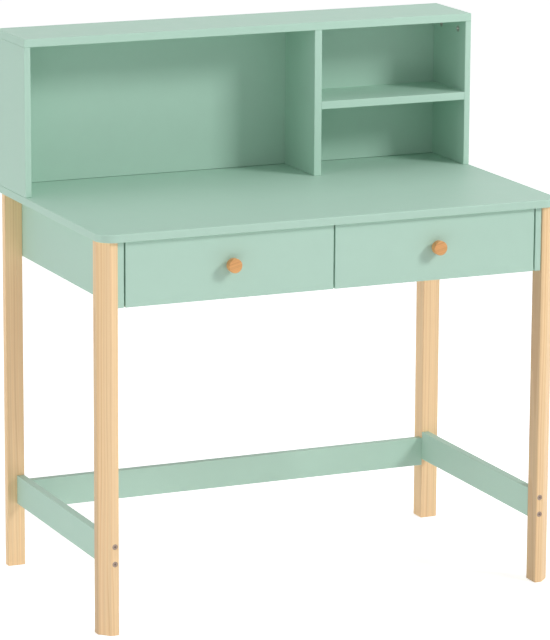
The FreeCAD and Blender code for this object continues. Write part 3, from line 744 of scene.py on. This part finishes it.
def cut_groove(bm, level, bottom, top, push):
    """Pushes in the strip, between two heights, of the face that lies at a level in x."""
    for z in (bottom, top):
        slice_across(bm, (0, 0, z), (0, 0, 1))
    strip = [face for face in bm.faces
             if all(abs(v.co.x - level) < SAME and bottom - SAME < v.co.z < top + SAME for v in face.verts)]
    pushed = bmesh.ops.extrude_face_region(bm, geom=strip)["geom"]
    bmesh.ops.translate(bm, vec=(push, 0, 0), verts=verts_of(pushed))
    bmesh.ops.delete(bm, geom=strip, context="FACES_ONLY")
    bmesh.ops.recalc_face_normals(bm, faces=bm.faces)


def sharp_edges(bm):
    """The edges where two faces meet at a sharp turn."""
    return [edge for edge in bm.edges if len(edge.link_faces) == 2 and edge.calc_face_angle() > SHARP_TURN]


for hand in HANDS:
    drawer = hand + "_drawer"
    groove_low, groove_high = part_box(drawer + "_bottom")
    bm = board_mesh(*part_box(drawer + "_front"), [], BOARD_EDGE)
    finish_piece(drawer + "_painted_front", bm, [mint_paint], drawer, "mint_paint", drawer + "_front")
    for side, inward in HANDS.items():
        node = f"{drawer}_{side}_side"
        low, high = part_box(node)
        bm = start_mesh()
        add_box(bm, low, high)
        cut_groove(bm, high.x if inward > 0 else low.x, groove_low.z, groove_high.z, -inward * GROOVE_DEPTH)
        ease(bm, [edge for edge in sharp_edges(bm) if edge.is_convex], BOX_EDGE, BOX_STEPS)
        finish_piece(node + "_board", drill(bm, holes_in(node)), [drawer_board], drawer, "drawer_board", node)
    bm = board_mesh(*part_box(drawer + "_back"), [], BOX_EDGE, BOX_STEPS)
    finish_piece(drawer + "_back_board", bm, [drawer_board], drawer, "drawer_board", drawer + "_back")
    bm = board_mesh(groove_low, groove_high, [], PANEL_EDGE, BOX_STEPS)
    for face in bm.faces:
        face.material_index = 1 if face.normal.z < DOWNWARD else 0
    finish_piece(drawer + "_bottom_panel", bm, [drawer_foil, hardboard_back], drawer, "drawer_bottom",
                 drawer + "_bottom")
print("drawer boxes:", len(HANDS))

# %% [markdown]
# The knobs are turned from a warm hardwood: a short neck that flares into the drawer and a broad head with a
# flat face and a crisp, lightly rounded rim. The outline is half of that section.

# %% Knobs
KNOB_OUTLINE = [(0, 0), (8.0, 0), (8.0, 0.8), (7.6, 2.4), (7.4, 4.6), (7.6, 6.6), (8.4, 8.2), (9.6, 8.9),
                (11.6, 9.1), (12.4, 9.4), (12.85, 10.0), (13.0, 10.9), (13.0, 20.3), (12.8, 21.2),
                (12.3, 21.75), (11.5, 22.0), (6.0, 22.0), (0, 22.0)]
KNOB_STEPS = 48
KNOB_PITHS = {"left": (14, 9), "right": (-11, 15)}
KNOB_HEIGHT, KNOB_LEAN = 0.2, 0.25
for hand, pith in KNOB_PITHS.items():
    node = hand + "_drawer_knob"
    centre = middle_of(node)
    seat = Vector((centre.x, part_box(node)[1].y, centre.z))
    bm = copies(spin_outline(KNOB_OUTLINE, KNOB_STEPS), [facing(seat, (0, -1, 0))])
    mark_grain(bm, centre, pith, KNOB_HEIGHT, KNOB_LEAN, LEVEL_GRAIN)
    finish_piece(node + "_turned", bm, [knob_wood], hand + "_drawer", "knob_wood", node)
print("knob outline points:", len(KNOB_OUTLINE))

# %% [markdown]
# The rails are drawn to the legs by connector screws whose round heads show on the legs, front and back. Each
# head lies just below the wood in its own hole and has a hexagon socket for a key. The steel is bronzed, so
# it shows as a dull brown button, and the inside of the socket is given a darker finish as painted shade.

# %% Rail screws
KEY_HALF_WIDTH, SOCKET_REACH, SOCKET_DEPTH = 2.0, 2.38, 2.5
SCREW_STEPS = 24
RAIL_HEAD = [(0, -2.2), (KEY_HALF_WIDTH, -2.2), (KEY_HALF_WIDTH, -0.6), (2.4, -0.35), (4.1, -0.3),
             (4.75, -0.5), (5.0, -0.9), (5.0, -3.2), (2.5, -3.4), (2.5, -60.0), (0, -62.0)]
head = spin_outline(RAIL_HEAD, SCREW_STEPS)
shape_socket(head, KEY_HALF_WIDTH, lambda angle: hexagon(angle, KEY_HALF_WIDTH))
# The socket's faces take the dark finish, which is painted shade for the recess.
shade_socket(head, SOCKET_REACH, SOCKET_DEPTH)
heads = copies(head, places_of["rail_screws"])
finish_piece("rail_screws_turned", heads, [bronzed_steel, socket_shade], "desk", "zinc_steel", "rail_screws")
print("rail screws placed:", len(places_of["rail_screws"]))

# %% [markdown]
# The other screws are driven where they hardly show: through the aprons into the legs, up through the desktop
# into the hutch, and from inside each drawer into its knob. All have a cross recess. The first two are sunk
# level with the board; the knob's screw has a rounded head that sits on it.

# %% Apron, hutch and knob screws
SINK_HEAD = [(0, -1.6), (1.0, -1.6), (1.9, -0.15), (3.4, -0.1), (3.9, -0.25), (4.0, -0.5), (2.0, -2.2),
             (2.0, -28.0), (0, -31.0)]
PAN_HEAD = [(0, 0.3), (1.0, 0.3), (1.9, 2.2), (2.9, 2.1), (3.6, 1.5), (4.0, 0.6), (4.0, 0), (2.0, 0),
            (2.0, -26.0), (0, -26.0)]
SCREW_CROSS = [(1.9, 2.1, 0.5), (1.0, 1.2, 0.35)]
CROSS_REACH, CROSS_SPARE = 2.3, 0.1
SCREW_STEEL = [zinc_steel, socket_shade]


def cross_headed(outline):
    """A screw with a cross recess, whose deepest point comes first in the outline."""
    bm = cross_punched(outline, SCREW_STEPS, SCREW_CROSS)
    # The cross recess takes the dark finish, which is painted shade for the recess.
    shade_socket(bm, CROSS_REACH, CROSS_SPARE - outline[0][1])
    return bm


for kind in ("apron_screws", "hutch_screws"):
    bm = copies(cross_headed(SINK_HEAD), places_of[kind])
    finish_piece(kind + "_driven", bm, SCREW_STEEL, "desk", "zinc_steel", kind)
for hand in HANDS:
    node = hand + "_drawer_knob_screw"
    centre = middle_of(node)
    seat = facing(Vector((centre.x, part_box(hand + "_drawer_front")[1].y, centre.z)), (0, 1, 0))
    bm = copies(cross_headed(PAN_HEAD), [seat])
    finish_piece(node + "_driven", bm, SCREW_STEEL, hand + "_drawer", "zinc_steel", node)
print("sunk screws:", len(seats["apron_screws"]) + len(seats["hutch_screws"]))

# %% [markdown]
# Cams are the zinc discs that lock flat-pack furniture. Each is let into one board's face and drawn tight
# with a screwdriver, so its face shows: a disc with a broad cross in it and a thin raised rim.

# %% Cams
CAM_FACE = [(0, -2.6), (1.2, -2.6), (2.6, -0.7), (4.6, -0.7), (5.0, -0.15), (5.6, -0.1), (6.0, -0.4),
            (6.0, -8.0), (0, -8.0)]
CAM_STEPS = 32
CAM_CROSS = [(2.6, 3.9, 0.8), (1.2, 2.2, 0.45)]
for node, body in CAM_BODIES.items():
    cams = copies(cross_punched(CAM_FACE, CAM_STEPS, CAM_CROSS), places_of[node])
    finish_piece(node + "_turned", cams, [zinc_steel], body, "zinc_steel", node)
    print(node, "cams:", len(places_of[node]))

# %% [markdown]
# Drawer runners are strips of sheet steel, folded on a press and dipped in white enamel. A sheet is a surface
# first: its fold line is drawn as a path, pulled along the runner, rounded at the bends and only then given
# the thickness of the steel. The fixed half is a channel, whose top flange stops short where its roller
# stands and has a tab bent down from it that stops the drawer. The moving half is a Z strip that grips the
# bottom edge of the drawer's side. Left and right are mirrored, so the thickness changes its sign with the
# hand, and a pair of sides is read forwards or backwards.

# %% Runners
STEEL = 1.2 * MM
BEND, BEND_STEPS = 2.0 * MM, 4
NOTCH = 22.0 * MM
STUD = [(0, 9.1), (1.4, 9.0), (2.6, 8.7), (3.2, 8.3), (2.0, 8.3), (2.0, -0.4), (0, -0.4)]
STUD_STEPS = 20
STOP_BACK, STOP_DROP, STOP_EDGE = 103.75 * MM, 4.0 * MM, 0.3 * MM
CARRIER_LEDGE = 10.0 * MM


def folded_sheet(path, y_from, y_to, thickness, cut_front=None):
    """A sheet folded along a path of (x, z) points; cut_front removes the last flange in front of that y."""
    bm = start_mesh()
    verts = [bm.verts.new((x, y_from, z)) for x, z in path]
    edges = [bm.edges.new(pair) for pair in zip(verts, verts[1:])]
    pulled = bmesh.ops.extrude_edge_only(bm, edges=edges)["geom"]
    bmesh.ops.translate(bm, vec=(0, y_to - y_from, 0), verts=verts_of(pulled))
    if cut_front is not None:
        slice_across(bm, (0, cut_front, 0), (0, 1, 0))
        flange_z = path[-1][1]
        spare = [face for face in bm.faces if face.calc_center_median().y < cut_front
                 and all(abs(v.co.z - flange_z) < SAME for v in face.verts)]
        bmesh.ops.delete(bm, geom=spare, context="FACES")
    ease(bm, sharp_edges(bm), BEND, BEND_STEPS)
    bmesh.ops.solidify(bm, geom=bm.faces[:], thickness=thickness)
    bmesh.ops.recalc_face_normals(bm, faces=bm.faces)
    return bm


def add_stud(bm, roller, root_x, way):
    """Adds the riveted stud that a roller turns on."""
    middle = middle_of(roller)
    copies(spin_outline(STUD, STUD_STEPS), [facing(Vector((root_x, middle.y, middle.z)), (way, 0, 0))], bm)


def add_stop_tab(bm, inner_wall, mouth, front, top):
    """Adds the tab under a channel's top flange that the drawer's rear roller meets."""
    near, far = sorted((inner_wall, mouth))
    low, high = Vector((near, front, top - STOP_DROP)), Vector((far, front + STEEL, top))
    copies(board_mesh(low, high, ["+Z"], STOP_EDGE), [Matrix()], bm)


def sides_of(node, inward):
    """A runner half's side towards the case and its side towards the drawer, in x."""
    return [corner.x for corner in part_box(node)][::inward]


for bay in HANDS:
    for hand, inward in HANDS.items():
        node = f"{bay}_bay_{hand}_runner"
        low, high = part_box(node)
        wall, mouth = sides_of(node, inward)
        path = [(mouth, low.z), (wall, low.z), (wall, high.z), (mouth, high.z)]
        bm = folded_sheet(path, low.y, high.y, -inward * STEEL, low.y + NOTCH)
        add_stud(bm, f"{bay}_bay_{hand}_roller", wall + inward * STEEL, inward)
        add_stop_tab(bm, wall + inward * STEEL, mouth, low.y + STOP_BACK, high.z - STEEL)
        finish_piece(node + "_folded", bm, [runner_enamel], "desk", "runner_enamel", node)

        node = f"{bay}_drawer_{hand}_runner"
        low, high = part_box(node)
        lip, ledge = sides_of(node, inward)
        web = ledge - inward * CARRIER_LEDGE
        path = [(lip, high.z), (web, high.z), (web, low.z + STEEL), (ledge, low.z + STEEL)]
        bm = folded_sheet(path, low.y, high.y, -inward * STEEL)
        add_stud(bm, f"{bay}_drawer_{hand}_roller", web - inward * STEEL, -inward)
        finish_piece(node + "_folded", bm, [runner_enamel], f"{bay}_drawer", "runner_enamel", node)
        print(bay, hand, "runner: wall at", round(wall / MM, 1), "mm, web at", round(web / MM, 1), "mm")

# %% [markdown]
# Each half of a runner is held by three short screws in the usual 32 mm row of holes. Those of the channel
# have low rounded heads, which leave room for the roller that passes them. Those of the carrier are sunk into
# the web, so that only a thin crown stands out towards the channel. The bottom of each drawer is pinned up
# into the back, where it has no groove, with three small round-headed pins.

# %% Runner screws and bottom pins
SCREW_ROW = [37.0 * MM, 197.0 * MM, 389.0 * MM]
CHANNEL_SCREW = [(0, 0.4), (1.0, 0.4), (1.9, 1.45), (2.7, 1.3), (3.3, 0.8), (3.5, 0), (1.7, 0), (1.7, -8.0),
                 (0, -9.0)]
CARRIER_SCREW = [(0, -0.6), (1.0, -0.6), (1.9, 0.5), (2.9, 0.4), (3.6, 0), (1.7, -1.1), (1.7, -8.0),
                 (0, -9.0)]
PIN = [(0, 0.55), (0.7, 0.5), (1.2, 0.3), (1.5, 0), (0.7, 0), (0.7, -14.0), (0, -15.0)]
PIN_STEPS = 16
PIN_ROW = [0.12, 0.5, 0.88]


def screw_row(node, web, way):
    """The places of the screws in a runner half, on its web and with their heads one way along X."""
    front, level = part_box(node)[0].y, middle_of(node).z
    return [facing(Vector((web, front + back, level)), (way, 0, 0)) for back in SCREW_ROW]


for bay in HANDS:
    drawer = bay + "_drawer"
    channel_places, carrier_places = [], []
    for hand, inward in HANDS.items():
        channel, carrier = f"{bay}_bay_{hand}_runner", f"{drawer}_{hand}_runner"
        wall, ledge = sides_of(channel, inward)[0], sides_of(carrier, inward)[1]
        channel_places += screw_row(channel, wall + inward * STEEL, inward)
        carrier_places += screw_row(carrier, ledge - inward * (CARRIER_LEDGE + STEEL), -inward)
    bm = copies(cross_headed(CHANNEL_SCREW), channel_places)
    finish_piece(bay + "_channel_screws", bm, SCREW_STEEL, "desk", "zinc_steel")
    bm = copies(cross_headed(CARRIER_SCREW), carrier_places)
    finish_piece(bay + "_carrier_screws", bm, SCREW_STEEL, drawer, "zinc_steel")
    low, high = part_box(drawer + "_back")
    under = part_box(drawer + "_bottom")[0].z
    pin_places = [facing(Vector((low.x + (high.x - low.x) * share, (low.y + high.y) / 2, under)), (0, 0, -1))
                  for share in PIN_ROW]
    bm = copies(spin_outline(PIN, PIN_STEPS), pin_places)
    finish_piece(bay + "_bottom_pins", bm, [zinc_steel], drawer, "zinc_steel")
    print(bay, "runner screws:", len(channel_places) + len(carrier_places), "pins:", len(pin_places))

# %% [markdown]
# The rollers are moulded nylon wheels. Each has a rounded tread, a web that is thinner than its rim and a hub
# round the stud, all in one outline that ends where it began and so is spun into a ring.

# %% Rollers
ROLLER_HALF = [(2.1, 4.05), (3.6, 4.05), (3.9, 3.0), (6.0, 3.0), (6.4, 4.05), (7.4, 4.05), (7.9, 3.6),
               (8.0, 2.8)]
OTHER_HALF = [(radius, -height) for radius, height in ROLLER_HALF]
ROLLER_OUTLINE = OTHER_HALF + ROLLER_HALF[::-1] + OTHER_HALF[:1]
ROLLER_STEPS = 48
roller_nodes = sorted(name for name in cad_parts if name.endswith("_roller"))
for node in roller_nodes:
    bm = copies(spin_outline(ROLLER_OUTLINE, ROLLER_STEPS), [facing(middle_of(node), (1, 0, 0))])
    finish_piece(node + "_moulded", bm, [nylon], node, "nylon", node)
print("rollers:", len(roller_nodes))

# %% [markdown]
# What is left of the frame is hidden inside the boards: dowels and cam bolts. They keep their plain solids
# and only need their finish.

# %% Hidden fixings
KEPT = {"dowels": beech, "left_drawer_dowels": beech, "right_drawer_dowels": beech, "cam_bolts": zinc_steel}
for node, material in KEPT.items():
    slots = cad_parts[node].data.materials
    slots.clear()
    slots.append(material)
print("kept solids:", sorted(name for name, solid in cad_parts.items() if not solid.hide_render))

# %% [markdown]
# The desk stands on a white floor that runs into a white world. To the camera both are plain white, but to
# every other ray they only send back ordinary light, so the paint keeps its colour. The floor adds a little
# of its own light for the camera alone, which lifts it to white and leaves the shadow in it.

# %% Floor and world
WHITE = (1.0, 1.0, 1.0, 1.0)
FLOOR_GREY = (0.90, 0.90, 0.90, 1.0)
FLOOR_HALF, FLOOR_DROP, FLOOR_LIFT = 8.0, 0.2 * MM, 0.60
WORLD_LIGHT = 0.42
bm = bmesh.new()
below = Matrix.Translation((0, 0, -FLOOR_DROP))
bmesh.ops.create_grid(bm, x_segments=1, y_segments=1, size=FLOOR_HALF, matrix=below)
floor_mesh = bpy.data.meshes.new("floor")
bm.to_mesh(floor_mesh)
bm.free()
floor = bpy.data.objects.new("floor", floor_mesh)
scene.collection.objects.link(floor)
floor_paint = bpy.data.materials.new("floor_paint")
bench = clear_bench(floor_paint)
plain = bench.add("BsdfDiffuse", {"Color": FLOOR_GREY})[0]
lift = bench.calc("MULTIPLY", bench.seen(), FLOOR_LIFT)
glow = bench.add("Emission", {"Color": WHITE, "Strength": lift})[0]
bench.add("OutputMaterial", {"Surface": bench.add("AddShader", {0: plain, 1: glow})[0]})
floor_mesh.materials.append(floor_paint)

world = bpy.data.worlds.new("white_room")
scene.world = world
bench = clear_bench(world)
strength = bench.calc("MULTIPLY_ADD", bench.seen(), 1.0 - WORLD_LIGHT, WORLD_LIGHT)
sky = bench.add("Background", {"Color": WHITE, "Strength": strength})[0]
bench.add("OutputWorld", {"Surface": sky})
print("floor half width:", FLOOR_HALF, "m, world light:", WORLD_LIGHT)

# %% [markdown]
# One large soft lamp stands to the right in front and above. It throws the knobs' shadows down to the left. A
# wide, weak one overhead lights the tops, one on the left keeps the left-hand faces open, and two near the
# floor, in front of the desk and under it, stand for the light that a white studio floor sends back up. Each
# one is given as its place, what it points at, its size and its power.

# %% Lamps
HUTCH_FOOT = Vector((0, 0, 0.8))
STRETCHER = middle_of("back_stretcher")
LAMPS = {
    "key": (Vector((3.51, -3.70, 3.76)), HUTCH_FOOT, (1.4, 1.4), 155.0),
    "overhead": (Vector((0.0, 0.5, 5.0)), HUTCH_FOOT, (4.0, 4.0), 40.0),
    "fill": (Vector((-3.6, 0.4, 0.95)), HUTCH_FOOT, (1.6, 1.2), 26.0),
    "front_bounce": (Vector((-0.75, -1.2, 0.05)), HUTCH_FOOT, (1.6, 1.2), 5.2),
    "under_bounce": (Vector((-0.12, -0.2, 0.03)), STRETCHER, (0.58, 0.05), 0.40),
}
for name, (place, aim, (width, height), power) in LAMPS.items():
    lamp = bpy.data.lights.new(name, "AREA")
    lamp.shape = "RECTANGLE"
    lamp.size, lamp.size_y = width, height
    lamp.energy = power
    stand = bpy.data.objects.new(name, lamp)
    stand.location = place
    stand.rotation_euler = (aim - place).to_track_quat("-Z", "Y").to_euler()
    stand.visible_camera = False
    scene.collection.objects.link(stand)
print("lamps:", list(LAMPS))

# %% [markdown]
# The camera looks at the desk from the left and a little above through a long lens, which is why the uprights
# stay almost parallel. Its place and angles were worked out from edges of the desk in the picture.

# %% Camera
VIEWPOINT = Vector((-2.7785, -6.2438, 2.0381))
YAW, PITCH, ROLL = (math.radians(angle) for angle in (23.944, 12.798, 0.307))
LENS, SENSOR = 213.30, 36.0
camera_data = bpy.data.cameras.new("camera")
camera_data.lens = LENS
camera_data.sensor_width = SENSOR
camera = bpy.data.objects.new("camera", camera_data)
camera.matrix_world = (Matrix.Translation(VIEWPOINT) @ Matrix.Rotation(-YAW, 4, "Z")
                       @ Matrix.Rotation(math.pi / 2 - PITCH, 4, "X") @ Matrix.Rotation(ROLL, 4, "Z"))
scene.collection.objects.link(camera)
scene.camera = camera
print("camera at", [round(c, 3) for c in VIEWPOINT], "lens", LENS)
